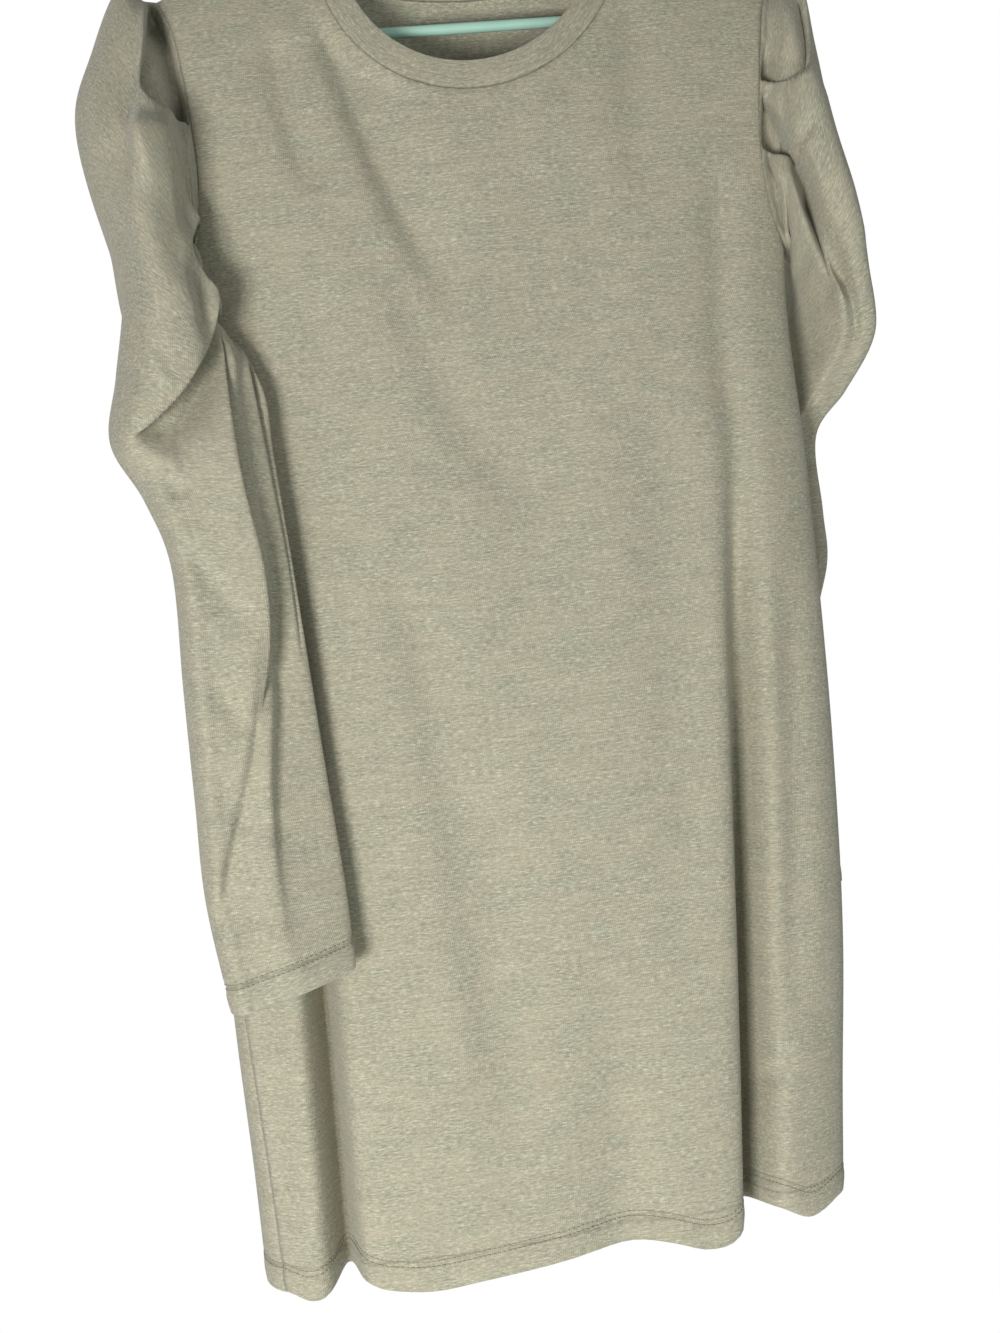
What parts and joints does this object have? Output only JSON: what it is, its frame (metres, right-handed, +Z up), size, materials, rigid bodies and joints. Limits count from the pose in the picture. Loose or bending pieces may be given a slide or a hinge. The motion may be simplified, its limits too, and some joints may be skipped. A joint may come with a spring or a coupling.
{
  "type": "sweater dress on a hanger",
  "caption": "Straight knee-length sweater dress in fine marled knit, with a crew neck and long pleated puff sleeves, hung on a tubular plastic hanger.",
  "frame": {"origin": "inner top of the hanger's hook, where it rests on a rail", "axes": "+Z up, the garment's front faces -Y, +X to the right of someone who looks at the front"},
  "size_m": [0.5559, 0.212, 1.0356],
  "materials": {
    "knit": "fine soft marled knit, sage and beige, matt with a light nap",
    "hanger_plastic": "mint green moulded plastic, satin gloss"
  },
  "bodies": {
    "root": {"front": "knit", "back": "knit", "sleeve_left": "knit", "sleeve_right": "knit", "neckband": "knit", "hanger": "hanger_plastic"}
  },
  "joints": []
}
